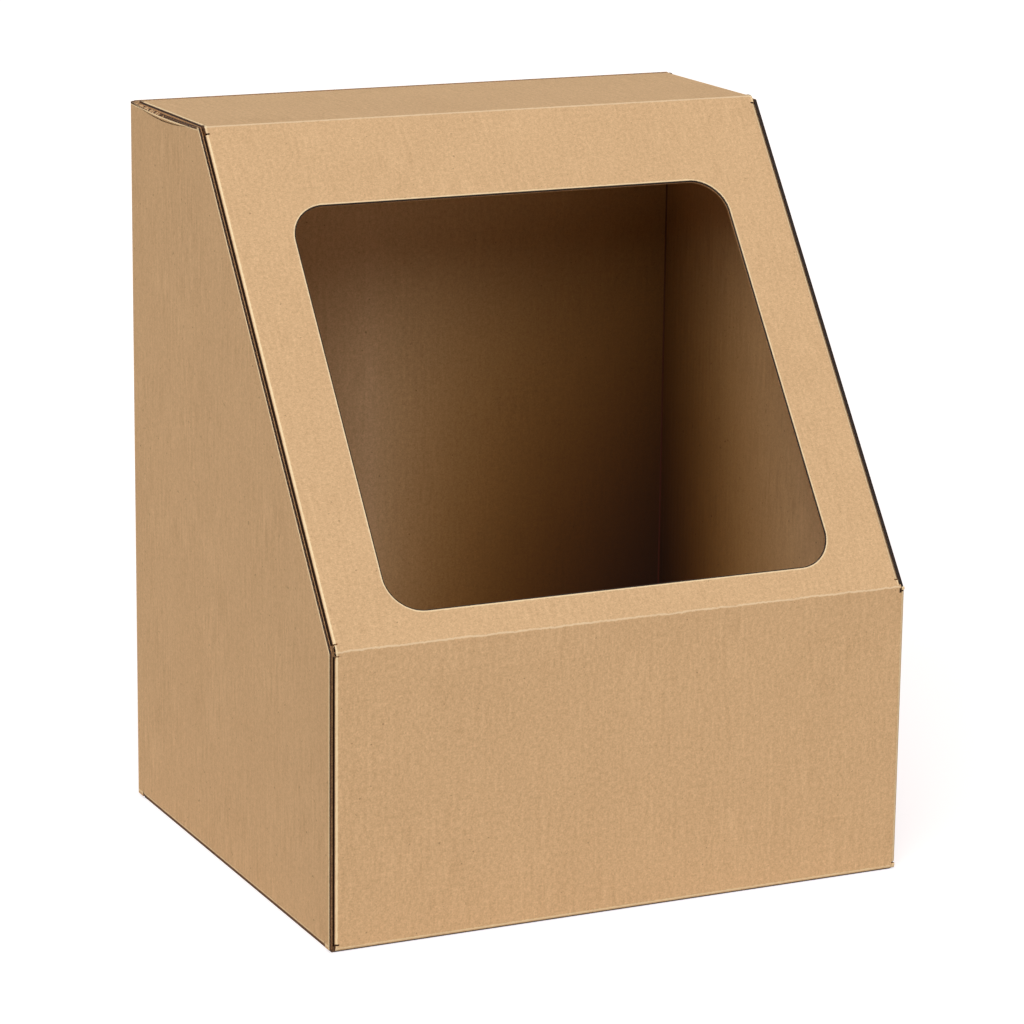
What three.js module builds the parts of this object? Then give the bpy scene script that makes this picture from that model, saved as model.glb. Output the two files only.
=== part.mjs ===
// A slant-fronted display carton of corrugated board, in millimetres.
// X runs across the front, Y runs from the front to the back, Z is up.
// The origin lies under the middle of the carton, on the surface that it stands on.
// Every piece is one flat blank, cut and folded, so each is modelled as cells of a flat sheet
// that a fold carries into place: an outer face, an inner face and the raw edges between them.
import * as THREE from "three";
import { mergeVertices } from "three/addons/utils/BufferGeometryUtils.js";

// Outside sizes of the closed carton
const width = 280;
const depth = 238;
const height = 335;
const frontHeight = 134;
const topDepth = 88;

// The board and its folds
const board = 1.6;
const foldRadius = 2.4;
const foldPieces = 5;
const hingeGap = 0.3;
const notch = 0.7;
const lip = 0.7;

// The window in the slanted panel
const windowSideMargin = 32;
const windowBottomMargin = 14;
const windowTopMargin = 42;
const windowCorner = 17;
const windowCornerPieces = 10;

// The lid's fit between the walls, its ears and its tuck flap
const lidClearance = 0.8;
const leftEdgeDrop = 0.5;
const rightEdgeDrop = 2.4;
const leftTopBevel = 3;
const rightTopBevel = 0;
const topEdgePieces = 12;
const earLength = 30;
const earCorner = 6;
const earRootInset = 3;
const earTaper = 19;
const earBackTaper = 9;
const topTuckLength = 36;
const topTuckRootInset = 3;
const topTuckLean = 4;

// The bottom closure, its tuck flap and the two dust flaps above it
const closureClearance = 0.5;
const closureBackClearance = 0.4;
const bottomTuckLength = 32;
const bottomTuckRootInset = 6;
const bottomTuckLean = 5;
const tuckCorner = 12;
const dustFlapLength = 95;
const dustFlapTaper = 9;
const dustFlapCorner = 10;
const dustFlapFrontInset = 5;
const dustFlapBackInset = 9;
const dustFlapGap = 0.3;

// The glued joint at the front left edge
const glueFlapLength = 32;
const glueFlapTaper = 14;
const glueFlapCorner = 4;
const glueLine = 0.1;
const rawEdgeSetback = 0.3;

const cornerPieces = 6;
const weld = 1e4;
const tiny = 1e-6;

const halfWidth = width / 2;
const front = -depth / 2;
const back = depth / 2;
const wallInside = halfWidth - board;
const lidHalf = wallInside - lidClearance;
const earFold = lidHalf - foldRadius;
const lipHalf = lidHalf - lip;
const slantStart = new THREE.Vector2(front, frontHeight);
const slantEnd = new THREE.Vector2(back - topDepth, height);
const slantLength = slantStart.distanceTo(slantEnd);
const slantAcross = slantEnd.clone().sub(slantStart).divideScalar(slantLength);

const degrees = Math.PI / 180;

// The right-hand side of a heading, which is the inner side of the board.
function rightOf(heading) {
  return new THREE.Vector2(Math.sin(heading), -Math.cos(heading));
}

function ahead(heading) {
  return new THREE.Vector2(Math.cos(heading), Math.sin(heading));
}

// A line of board that turns right at each corner: flats joined by arcs of the fold radius.
// A corner in split is cut through the middle of its arc, with the hinge gap between its halves.
function bentLine(corners, split = []) {
  const headings = corners.slice(1).map((c, i) => c.clone().sub(corners[i]).angle());
  const turns = corners.map((_, i) => {
    const bends = i > 0 && i < corners.length - 1;
    return bends ? (headings[i - 1] - headings[i] + 2 * Math.PI) % (2 * Math.PI) : 0;
  });
  const gaps = corners.map((_, i) => (split.includes(i) ? hingeGap : 0));
  const tangents = turns.map((turn, i) =>
    (turn ? foldRadius * Math.tan(turn / 2) + gaps[i] / 2 / Math.cos(turn / 2) : 0));
  const spans = [];
  let point = corners[0].clone();
  let station = 0;
  const add = (heading, turn, length) => {
    spans.push({ point: point.clone(), heading, turn, start: station, end: station + length });
    point = place(spans, spans.length - 1, station + length, 0);
    station += length;
  };
  for (let i = 0; i < headings.length; i += 1) {
    const side = corners[i].distanceTo(corners[i + 1]);
    add(headings[i], 0, side - tangents[i] - tangents[i + 1]);
    const turn = turns[i + 1];
    if (turn) {
      add(headings[i], turn / 2, foldRadius * turn / 2);
      add(headings[i] - turn / 2, 0, gaps[i + 1]);
      add(headings[i] - turn / 2, turn / 2, foldRadius * turn / 2);
    }
  }
  return spans;
}

// A point of a span at a station along it, as far inward from the outer face as asked.
function place(spans, index, station, inward) {
  const span = spans[index];
  const along = station - span.start;
  if (span.turn === 0) {
    return span.point.clone()
      .addScaledVector(ahead(span.heading), along)
      .addScaledVector(rightOf(span.heading), inward);
  }
  const centre = span.point.clone().addScaledVector(rightOf(span.heading), foldRadius);
  const turned = span.heading - along / foldRadius;
  return centre.addScaledVector(rightOf(turned), inward - foldRadius);
}

// The carton's middle strip in side view: bottom tuck, closure, front, slant, top and top tuck.
const closureBack = back - board - closureBackClearance;
const lidBack = back - board - lidClearance;
const lean = (at, length, angle, up) => new THREE.Vector2(
  at.x - length * Math.sin(angle * degrees), at.y + up * length * Math.cos(angle * degrees));
const closureCorner = new THREE.Vector2(closureBack, 0);
const lidCorner = new THREE.Vector2(lidBack, height);
const strip = bentLine([
  lean(closureCorner, bottomTuckLength, bottomTuckLean, 1),
  closureCorner,
  new THREE.Vector2(front, 0),
  slantStart,
  slantEnd,
  lidCorner,
  lean(lidCorner, topTuckLength, topTuckLean, -1),
], [2, 3]);
const spansPerCorner = 4;
const [bottomTuckFlat, closureFlat, frontFlat, slantFlat, topFlat, topTuckFlat] =
  strip.map((_, i) => i).filter((i) => i % spansPerCorner === 0);

// Maps from a flat cell to the folded sheet: two places on the blank, then the way inward.
const onStrip = (span) => (x, station, inward) => {
  const p = place(strip, span, station, inward);
  return new THREE.Vector3(x, p.x, p.y);
};
const onSide = (side) => (y, z, inward) => new THREE.Vector3(side * (halfWidth - inward), y, z);

// A side wall whose top edge slopes down to its outer face, most of all halfway along.
const bevelledWall = (side, top, from, to, bevel) => (y, z, inward) => {
  const onTop = z > top - tiny ? 1 - inward / board : 0;
  const lower = bevel * onTop * Math.sin(Math.PI * (y - from) / (to - from));
  return onSide(side)(y, z - lower, inward);
};
const onBack = (x, z, inward) => new THREE.Vector3(x, back - inward, z);

// A flap turned in from the edge of a panel: the way out past the edge, then the way inward.
const flapLine = (length) => bentLine([
  new THREE.Vector2(0, 0),
  new THREE.Vector2(foldRadius, 0),
  new THREE.Vector2(foldRadius, -length),
]);
const onFlap = (line, span, carry) => (along, station, inward) => {
  const p = place(line, span, station, inward);
  return carry(along, p.x, -p.y);
};

// One cell is a list of flat triangles and the map that folds them.
function polygonCell(outline, map, holes = []) {
  const triangles = THREE.ShapeUtils.triangulateShape(outline, holes);
  const points = [...outline, ...holes.flat()];
  return { map, triangles: triangles.map((t) => t.map((i) => points[i])) };
}

function gridCell(across, along, map) {
  const triangles = [];
  for (let i = 0; i + 1 < across.length; i += 1) {
    for (let j = 0; j + 1 < along.length; j += 1) {
      const [a, b, c, d] = [[i, j], [i + 1, j], [i + 1, j + 1], [i, j + 1]]
        .map(([m, n]) => new THREE.Vector2(across[m], along[n]));
      triangles.push([a, b, c], [a, c, d]);
    }
  }
  return { map, triangles };
}

function steps(from, to, count) {
  return Array.from({ length: count + 1 }, (_, i) => from + (to - from) * i / count);
}

// An outline whose corners are rounded where a third number gives the radius.
function outlineOf(corners, pieces = cornerPieces) {
  return corners.flatMap(([x, y, radius], i) => {
    const here = new THREE.Vector2(x, y);
    if (!radius) return [here];
    const before = new THREE.Vector2(...corners.at(i - 1).slice(0, 2)).sub(here).normalize();
    const after = new THREE.Vector2(...corners[(i + 1) % corners.length].slice(0, 2)).sub(here).normalize();
    const half = Math.acos(THREE.MathUtils.clamp(before.dot(after), -1, 1)) / 2;
    const centre = here.clone().add(before.clone().add(after).normalize()
      .multiplyScalar(radius / Math.sin(half)));
    const start = here.clone().addScaledVector(before, radius / Math.tan(half)).sub(centre);
    const swing = Math.sign(before.cross(after)) * (Math.PI - 2 * half);
    return steps(0, -swing, pieces).map((a) => start.clone()
      .rotateAround(new THREE.Vector2(), a).add(centre));
  });
}

// Folds the cells of one blank and closes the board between its two faces.
function foldedSheet(name, cells, material) {
  const positions = [];
  const seen = new Map();
  const keyOf = (p) => p.toArray().map((v) => Math.round(v * weld)).join(" ");
  const vertex = (p) => {
    const key = keyOf(p);
    if (!seen.has(key)) {
      seen.set(key, positions.length / 3);
      positions.push(...p.toArray());
    }
    return seen.get(key);
  };
  const faces = [];
  const edges = new Map();
  for (const { map, triangles } of cells) {
    for (const triangle of triangles) {
      const outer = triangle.map((p) => map(p.x, p.y, 0));
      const inner = triangle.map((p) => map(p.x, p.y, board));
      const normal = outer[1].clone().sub(outer[0]).cross(outer[2].clone().sub(outer[0]));
      const order = normal.dot(inner[0].clone().sub(outer[0])) > 0 ? [0, 2, 1] : [0, 1, 2];
      const out = order.map((i) => vertex(outer[i]));
      const into = order.map((i) => vertex(inner[i]));
      faces.push(out, [into[0], into[2], into[1]]);
      for (let i = 0; i < 3; i += 1) {
        const j = (i + 1) % 3;
        edges.set(`${out[i]} ${out[j]}`, [out[i], out[j], into[i], into[j]]);
      }
    }
  }
  for (const [a, b, innerA, innerB] of edges.values()) {
    if (!edges.has(`${b} ${a}`)) faces.push([b, a, innerA], [b, innerA, innerB]);
  }
  const geometry = new THREE.BufferGeometry();
  geometry.setAttribute("position", new THREE.Float32BufferAttribute(positions, 3));
  geometry.setIndex(faces.flat());
  const mesh = new THREE.Mesh(mergeVertices(geometry), material);
  mesh.name = name;
  return mesh;
}

const kraft = (color) => new THREE.MeshStandardMaterial({
  color, roughness: 0.85, metalness: 0, flatShading: true });

// The folds of the strip between two of its flats, as cells from low to high across.
function stripFolds(from, to, low, high) {
  const cells = [];
  for (let i = from; i <= to; i += 1) {
    const span = strip[i];
    const pieces = span.turn ? foldPieces : 1;
    if (span.end - span.start > tiny) {
      cells.push(gridCell([low, high], steps(span.start, span.end, pieces), onStrip(i)));
    }
  }
  return cells;
}

// A flap of board: its fold from the panel's edge, then its outline beyond the fold.
function flap(rootFrom, rootTo, taperFrom, taperTo, length, corner, carry) {
  const line = flapLine(length);
  const cells = line.flatMap((span, i) => (span.turn
    ? [gridCell([rootFrom, rootTo], steps(span.start, span.end, foldPieces), onFlap(line, i, carry))]
    : []));
  const flat = line.at(-1);
  const sense = Math.sign(rootTo - rootFrom);
  cells.push(polygonCell(outlineOf([
    [rootFrom, flat.start],
    [rootTo, flat.start],
    [rootTo - sense * taperTo, flat.end, corner],
    [rootFrom + sense * taperFrom, flat.end, corner],
  ]), onFlap(line, line.length - 1, carry)));
  return cells;
}

// A quarter turn of a wall about an upright line.
function uprightFold(x, y, from, to, low, high) {
  return gridCell(steps(from * degrees, to * degrees, 2 * foldPieces), [low, high],
    (angle, z, inward) => new THREE.Vector3(
      x + (foldRadius - inward) * Math.cos(angle), y + (foldRadius - inward) * Math.sin(angle), z));
}

// The slanted edge of a side wall lies a drop below the lid's outer face.
const slantEdgeAt = (y, drop) =>
  frontHeight + (y - front) * slantAcross.y / slantAcross.x - drop / slantAcross.x;
const slantEdgeEnd = (top, drop) => front + (top + drop / slantAcross.x - frontHeight)
  * slantAcross.x / slantAcross.y;

// The walls, glued into one sleeve, with the two dust flaps
function cartonBody() {
  const dustFace = board + dustFlapGap;
  const dustFold = dustFace + foldRadius;
  const frontLow = place(strip, frontFlat, strip[frontFlat].start, 0).y;
  const frontHigh = place(strip, frontFlat, strip[frontFlat].end, 0).y;
  const uprightLow = Math.max(frontLow + notch + lip, dustFace);
  const uprightHigh = frontHigh - notch - lip;
  const sideBack = back - foldRadius;
  const rightFront = front + foldRadius;
  const leftFront = front + rawEdgeSetback;
  const backFold = halfWidth - foldRadius;
  const frontLeftOuter = lidHalf;
  const frontLeft = -(frontLeftOuter - foldRadius);
  const frontRight = halfWidth - foldRadius;
  const cells = [];

  const dustFrom = front + dustFlapFrontInset;
  const dustTo = back - dustFlapBackInset;
  for (const [side, drop, bevel] of [
    [-1, leftEdgeDrop, leftTopBevel], [1, rightEdgeDrop, rightTopBevel]]) {
    const top = height - drop;
    const edgeFront = side < 0 ? leftFront : rightFront;
    const slantTop = slantEdgeEnd(top, drop);
    const topEdge = steps(sideBack, slantTop, topEdgePieces).map((y) => [y, top]);
    const wall = bevelledWall(side, top, slantTop, sideBack, bevel);
    const frontEdge = side < 0
      ? [[edgeFront, dustFace]]
      : [[edgeFront, uprightHigh], [edgeFront, uprightLow]];
    cells.push(polygonCell(outlineOf([
      ...topEdge,
      [edgeFront, slantEdgeAt(edgeFront, drop)],
      ...frontEdge,
      [dustFrom - notch, dustFace],
      [dustFrom - notch, dustFold],
      [dustFrom, dustFold],
      [dustTo, dustFold],
      [dustTo + notch, dustFold],
      [dustTo + notch, dustFace],
      [sideBack, dustFace],
    ]), wall));
    cells.push(...flap(dustFrom, dustTo, dustFlapTaper, dustFlapTaper, dustFlapLength,
      dustFlapCorner, (y, out, inward) => onSide(side)(y, dustFold - out, inward)));
    cells.push(uprightFold(side * backFold, sideBack, side < 0 ? 180 : 0, 90, dustFace, top));
  }
  cells.push(polygonCell(outlineOf([
    [-backFold, 0],
    [backFold, 0],
    [backFold, dustFace],
    [backFold, height - rightEdgeDrop],
    [backFold, height - leftEdgeDrop],
    [-backFold, height - leftEdgeDrop],
    [-backFold, dustFace],
  ]), onBack));

  const station = (z) => strip[frontFlat].start + z - frontLow;
  const lipLeft = -lipHalf;
  const lipRight = halfWidth - lip;
  cells.push(polygonCell(outlineOf([
    [lipLeft, station(frontLow)],
    [lipRight, station(frontLow)],
    [lipRight, station(frontLow + lip)],
    [frontRight, station(frontLow + lip)],
    [frontRight, station(uprightLow)],
    [frontRight, station(uprightHigh)],
    [frontRight, station(frontHigh - lip)],
    [lipRight, station(frontHigh - lip)],
    [lipRight, station(frontHigh)],
    [lipLeft, station(frontHigh)],
    [lipLeft, station(frontHigh - lip)],
    [frontLeft, station(frontHigh - lip)],
    [frontLeft, station(uprightHigh)],
    [frontLeft, station(uprightLow)],
    [frontLeft, station(frontLow + lip)],
    [lipLeft, station(frontLow + lip)],
  ]), onStrip(frontFlat)));
  cells.push(...stripFolds(frontFlat - 1, frontFlat - 1, lipLeft, lipRight));
  cells.push(...stripFolds(frontFlat + 1, frontFlat + 1, lipLeft, lipRight));
  cells.push(uprightFold(frontRight, rightFront, 0, -90, uprightLow, uprightHigh));

  const glueReach = glueFlapLength - foldRadius;
  const glueLean = Math.asin((wallInside - glueLine - frontLeftOuter) / glueReach);
  const glueFrom = 180 + glueLean / degrees;
  const centre = new THREE.Vector2(frontLeft, front + foldRadius);
  cells.push(uprightFold(centre.x, centre.y, -90, glueFrom - 360, uprightLow, uprightHigh));
  const outward = ahead(Math.PI + glueLean);
  const along = new THREE.Vector2(outward.y, -outward.x);
  cells.push(polygonCell(outlineOf([
    [0, uprightLow],
    [0, uprightHigh],
    [glueReach, uprightHigh - glueFlapTaper, glueFlapCorner],
    [glueReach, uprightLow + glueFlapTaper, glueFlapCorner],
  ]), (reach, z, inward) => {
    const p = centre.clone()
      .addScaledVector(outward, foldRadius - inward)
      .addScaledVector(along, reach);
    return new THREE.Vector3(p.x, p.y, z);
  }));
  return foldedSheet("carton_body", cells, kraft(0xc8a076));
}

// The window, cut through the slanted panel
function windowOutline() {
  const corner = windowCorner;
  const half = halfWidth - windowSideMargin;
  const base = strip[slantFlat].start - place(strip, slantFlat, strip[slantFlat].start, 0)
    .distanceTo(slantStart);
  const low = base + windowBottomMargin;
  const high = base + slantLength - windowTopMargin;
  return outlineOf([
    [-half, low, corner],
    [-half, high, corner],
    [half, high, corner],
    [half, low, corner],
  ], windowCornerPieces);
}

// One side of a lid panel, walked upwards: lips at both ends and the root of an ear between.
function earEdge(from, to) {
  return [
    [lipHalf, from],
    [lipHalf, from + earRootInset - notch],
    [earFold, from + earRootInset - notch],
    [earFold, from + earRootInset],
    [earFold, to - earRootInset],
    [earFold, to - earRootInset + notch],
    [lipHalf, to - earRootInset + notch],
    [lipHalf, to],
  ];
}

const mirrored = (edge) => edge.map(([x, y]) => [-x, y]).reverse();

// The slanted panel, the top and its tuck flap, with an ear at each side of both panels
function lid() {
  const slant = strip[slantFlat];
  const top = strip[topFlat];
  const tuck = strip[topTuckFlat];
  const tuckHalf = earFold - topTuckRootInset;
  const slantEdge = earEdge(slant.start, slant.end);
  const topEdge = earEdge(top.start, top.end);
  const cells = [
    ...stripFolds(slantFlat - 1, slantFlat - 1, -lipHalf, lipHalf),
    polygonCell(outlineOf([...slantEdge, ...mirrored(slantEdge)]), onStrip(slantFlat),
      [windowOutline()]),
    ...stripFolds(slantFlat + 1, topFlat - 1, -lipHalf, lipHalf),
    polygonCell(outlineOf([
      ...topEdge,
      [tuckHalf, top.end],
      [-tuckHalf, top.end],
      ...mirrored(topEdge),
    ]), onStrip(topFlat)),
    ...stripFolds(topFlat + 1, topTuckFlat - 1, -tuckHalf, tuckHalf),
    polygonCell(outlineOf([
      [-tuckHalf, tuck.start],
      [tuckHalf, tuck.start],
      [tuckHalf, tuck.end, tuckCorner],
      [-tuckHalf, tuck.end, tuckCorner],
    ]), onStrip(topTuckFlat)),
  ];
  for (const side of [-1, 1]) {
    for (const [span, flat, tail] of [[slant, slantFlat, earTaper], [top, topFlat, earBackTaper]]) {
      cells.push(...flap(span.start + earRootInset, span.end - earRootInset, earTaper, tail,
        earLength, earCorner,
        (station, out, inward) => onStrip(flat)(side * (earFold + out), station, inward)));
    }
  }
  return foldedSheet("lid", cells, kraft(0xd9b188));
}

// The closure under the carton, with the tuck flap that holds it inside the back wall
function bottomClosure() {
  const half = wallInside - closureClearance;
  const tuckHalf = half - bottomTuckRootInset;
  const tuck = strip[bottomTuckFlat];
  const flat = strip[closureFlat];
  const cells = [
    polygonCell(outlineOf([
      [-tuckHalf, tuck.start, tuckCorner],
      [tuckHalf, tuck.start, tuckCorner],
      [tuckHalf, tuck.end],
      [-tuckHalf, tuck.end],
    ]), onStrip(bottomTuckFlat)),
    ...stripFolds(bottomTuckFlat + 1, closureFlat - 1, -tuckHalf, tuckHalf),
    polygonCell(outlineOf([
      [-half, flat.start],
      [-tuckHalf, flat.start],
      [tuckHalf, flat.start],
      [half, flat.start],
      [half, flat.end],
      [-half, flat.end],
    ]), onStrip(closureFlat)),
    ...stripFolds(closureFlat + 1, closureFlat + 1, -half, half),
  ];
  return foldedSheet("bottom_closure", cells, kraft(0xc09868));
}

const carton = new THREE.Group();
carton.add(cartonBody(), lid(), bottomClosure());

export default carton;
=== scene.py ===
import math

import bpy
import numpy as np
from mathutils import Matrix, Vector


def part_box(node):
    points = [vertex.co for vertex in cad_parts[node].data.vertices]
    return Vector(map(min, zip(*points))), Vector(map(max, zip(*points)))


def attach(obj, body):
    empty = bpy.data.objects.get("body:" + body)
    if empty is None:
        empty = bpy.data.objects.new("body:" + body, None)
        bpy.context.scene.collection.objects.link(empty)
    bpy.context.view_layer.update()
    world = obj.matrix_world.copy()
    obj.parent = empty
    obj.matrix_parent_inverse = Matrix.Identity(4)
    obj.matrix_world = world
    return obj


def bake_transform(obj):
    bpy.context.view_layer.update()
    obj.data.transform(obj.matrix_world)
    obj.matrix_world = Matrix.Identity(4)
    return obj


MM = 0.001

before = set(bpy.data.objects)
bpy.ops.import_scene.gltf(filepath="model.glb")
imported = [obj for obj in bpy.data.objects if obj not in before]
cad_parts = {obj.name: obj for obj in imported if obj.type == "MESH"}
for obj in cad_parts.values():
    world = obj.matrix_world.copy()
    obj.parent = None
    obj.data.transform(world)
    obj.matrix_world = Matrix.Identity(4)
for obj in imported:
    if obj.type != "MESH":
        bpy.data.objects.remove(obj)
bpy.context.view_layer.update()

# Sizes of the folded board, as in the part
BOARD = 1.6 * MM
FOLD_RADIUS = 2.4 * MM
HINGE_GAP = 0.3 * MM
FRONT_HEIGHT = 134 * MM
TOP_DEPTH = 88 * MM
LIP = 0.7 * MM
WINDOW_SIDE = 32 * MM
WINDOW_BOTTOM = 14 * MM
WINDOW_TOP = 42 * MM
WINDOW_CORNER = 17 * MM
LEFT_DROP = 0.5 * MM
RIGHT_DROP = 2.4 * MM
LEFT_BEVEL = 3.0 * MM
EDGE_SETBACK = 0.3 * MM

body_low, body_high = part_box("carton_body")
lid_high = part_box("lid")[1]
HALF_WIDTH = body_high.x
FRONT = body_low.y
BACK = body_high.y
HEIGHT = lid_high.z
LID_HALF = lid_high.x
LID_BACK = lid_high.y

SLANT_RUN = BACK - TOP_DEPTH - FRONT
SLANT_RISE = HEIGHT - FRONT_HEIGHT
SLANT_LENGTH = math.hypot(SLANT_RUN, SLANT_RISE)
COS_SLANT = SLANT_RUN / SLANT_LENGTH
SIN_SLANT = SLANT_RISE / SLANT_LENGTH
UP_SLANT = np.array([0.0, COS_SLANT, SIN_SLANT])
OFF_SLANT = np.array([0.0, -SIN_SLANT, COS_SLANT])
UP = np.array([0.0, 0.0, 1.0])
AHEAD = np.array([0.0, -1.0, 0.0])
CREASE = np.array([0.0, FRONT, FRONT_HEIGHT])
LEFT_TOP_SPAN = (BACK - TOP_DEPTH + LEFT_DROP / 2, BACK - FOLD_RADIUS)

# The outer liner's rim on the worn left top edge, and the pitch of the flutes
RIM_DROP = 1.0 * MM
RIM_LENS = 0.8 * MM
FLUTE_PITCH = 3.3 * MM

# Depth under an outer face that still counts as that face
OUTER_SKIN = 0.5 * MM

# Places of the lines that the light catches, and of the cracks beside the folds
LIT_TURN = math.radians(28)
LIT_ACROSS = LID_HALF - FOLD_RADIUS + FOLD_RADIUS * math.sin(LIT_TURN)
LIT_DEPTH = FOLD_RADIUS * (1 - math.cos(LIT_TURN))
TOP_LIT_ACROSS = LID_HALF - 1.85 * MM
RIGHT_LIT_ACROSS = HALF_WIDTH - 1.35 * MM
RIGHT_LIT_DEPTH = 0.25 * MM
ARC_MIDDLE = FOLD_RADIUS * (1 - math.sqrt(0.5))
CRACK = LID_HALF - 0.62 * MM
TOP_CRACK = LID_HALF - 1.35 * MM
CREASE_DEPTH = 0.1 * MM
TOP_CREASE_DEPTH = 0.25 * MM
BOTTOM_LINE = 1.9 * MM

# Half widths of the pale lines: painted highlights along folds and edges, and worn creases
BACK_FOLD_HALF = 0.9 * MM
RIGHT_FOLD_HALF = 0.75 * MM
LIT_FOLD_HALF = 0.55 * MM
BOTTOM_FOLD_HALF = 0.65 * MM
TUCK_FOLD_HALF = 0.8 * MM
TOP_EAR_HALF = 0.5 * MM
CREASE_HALF = 0.5 * MM
TOP_CREASE_HALF = 0.6 * MM
WINDOW_RIM_HALF = 0.7 * MM
CUT_HALF = 0.34 * MM

# Masks of painted shade: each pair is where a mask starts to fade and where it has gone
CONTACT_FADE = (0.95 * MM, 1.2 * MM)
CRACK_FADE = (2.2 * MM, 2.8 * MM)
LID_CRACK_FADE = (2.3 * MM, 2.9 * MM)
KNOT_FADE = (2.6 * MM, 3.2 * MM)
CORNER_FADE = (0.45 * MM, 0.85 * MM)
KNOT_SPAN = (LID_HALF - 0.85 * MM, LID_HALF + 0.3 * MM)

# Painted shade on the inner faces: where it starts, its reach, and its depth in red, green and blue
INSIDE_SHADE_START = -20 * MM
INSIDE_SHADE_WIDTH = 158 * MM
INSIDE_SHADE_RUN = 236 * MM
INSIDE_SHADE_LEVEL = 155 * MM
INSIDE_SHADE_FALL = 180 * MM
INSIDE_SHADE_DEPTH = (2.4, 3.1, 4.6)

# Raw edges: shares of the board's thickness, then heights and the step along the edge
LINER_SHARE = 0.17
FLUTE_SHARE = 0.13
RIB = 0.22 * MM
FLOOR_OF_EDGE = 0.03 * MM
LEDGE = 0.55 * MM
FOOT = 0.02 * MM
STEP = 0.4 * MM
DARK, OUTER, INNER, FACE, FLUTE = range(5)

# Skins over the moving creases
SKIN = 0.12 * MM
SKIN_PROUD = 0.015 * MM
RIM_SINK = 0.05 * MM
RIM_FADE = 0.25 * MM
RIDGE_HALF = 0.45 * MM
RIDGE_HEIGHT = 0.03
RIDGE_ROUGHNESS = 0.02
SKIN_STEP = 0.5 * MM


# Camera, at the photograph's viewing angle
def add_camera():
    azimuth, pitch, roll = (math.radians(a) for a in (25.38, 14.08, 0.69))
    focal_pixels, frame_pixels, sensor = 4000, 1024, 36
    place = (-0.7622, -1.6078, 0.6003)
    ahead = Vector((math.sin(azimuth) * math.cos(pitch), math.cos(azimuth) * math.cos(pitch),
                    -math.sin(pitch)))
    level = Vector((math.cos(azimuth), -math.sin(azimuth), 0))
    upright = level.cross(ahead)
    right = level * math.cos(roll) + upright * math.sin(roll)
    up = upright * math.cos(roll) - level * math.sin(roll)
    data = bpy.data.cameras.new("camera")
    data.sensor_width = sensor
    data.lens = sensor * focal_pixels / frame_pixels
    camera = bpy.data.objects.new("camera", data)
    camera.matrix_world = Matrix((right, up, -ahead)).transposed().to_4x4()
    camera.matrix_world.translation = place
    bpy.context.scene.collection.objects.link(camera)
    bpy.context.scene.camera = camera


# Node-building help
def linear(r, g, b):
    """Linear colour of a screen colour given in 0 to 255."""
    values = [c / 255 for c in (r, g, b)]
    return tuple(c / 12.92 if c <= 0.04045 else ((c + 0.055) / 1.055) ** 2.4
                 for c in values) + (1.0,)


class Graph:
    """Adds nodes to a tree. A value is a number, a tuple or another node's output socket."""

    def __init__(self, tree):
        self.tree = tree

    def feed(self, socket, value):
        if isinstance(value, bpy.types.NodeSocket):
            self.tree.links.new(value, socket)
        else:
            socket.default_value = value

    def node(self, kind, inputs=None, **settings):
        made = self.tree.nodes.new(kind)
        for name, value in settings.items():
            setattr(made, name, value)
        for name, value in (inputs or {}).items():
            self.feed(made.inputs[name], value)
        return made

    def math(self, operation, *values, clamp=False):
        made = self.node("ShaderNodeMath", operation=operation, use_clamp=clamp)
        for socket, value in zip(made.inputs, values):
            self.feed(socket, value)
        return made.outputs[0]

    def add(self, a, b):
        return self.math("ADD", a, b)

    def times(self, a, b):
        return self.math("MULTIPLY", a, b)

    def off(self, value, at):
        return self.math("SUBTRACT", value, at)

    def away(self, value, at):
        """Distance between two values."""
        return self.math("ABSOLUTE", self.off(value, at))

    def least(self, values):
        result = values[0]
        for value in values[1:]:
            result = self.math("MINIMUM", result, value)
        return result

    def reach(self, a, b):
        """Length of the two-part vector (a, b)."""
        return self.math("SQRT", self.add(self.times(a, a), self.times(b, b)))

    def from_line(self, a, at_a, b, at_b):
        """Distance to the line where a is at_a and b is at_b."""
        return self.reach(self.off(a, at_a), self.off(b, at_b))

    def nearest(self, lines):
        """Least of the distances to the given lines, each divided by its half width."""
        return self.least([self.math("DIVIDE", distance, half) for distance, half in lines])

    def split(self, vector):
        return self.node("ShaderNodeSeparateXYZ", {"Vector": vector}).outputs[:3]

    def join(self, x, y, z):
        return self.node("ShaderNodeCombineXYZ", {"X": x, "Y": y, "Z": z}).outputs[0]

    def scaled(self, vector, by):
        """Product of two vectors or colours, part by part."""
        inputs = {0: vector, 1: by}
        return self.node("ShaderNodeVectorMath", inputs, operation="MULTIPLY").outputs[0]

    def noise(self, vector, scale, detail=2.0, roughness=0.5):
        inputs = {"Vector": vector, "Scale": scale, "Detail": detail, "Roughness": roughness}
        return self.node("ShaderNodeTexNoise", inputs).outputs["Fac"]

    def ramp(self, value, low, high, to_low=0.0, to_high=1.0):
        inputs = {"Value": value, "From Min": low, "From Max": high,
                  "To Min": to_low, "To Max": to_high}
        return self.node("ShaderNodeMapRange", inputs, interpolation_type="SMOOTHSTEP").outputs[0]

    def fall(self, value, low, high):
        """1 below low, 0 above high, and smooth between."""
        return self.off(1.0, self.ramp(value, low, high))

    def band(self, value, low, high, soft):
        """1 where the value lies between low and high, with soft ends."""
        return self.off(self.ramp(value, low - soft, low + soft),
                        self.ramp(value, high - soft, high + soft))

    def mix(self, factor, a, b):
        made = self.node("ShaderNodeMix", data_type="RGBA")
        for index, value in ((0, factor), (6, a), (7, b)):
            self.feed(made.inputs[index], value)
        return made.outputs[2]


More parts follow.
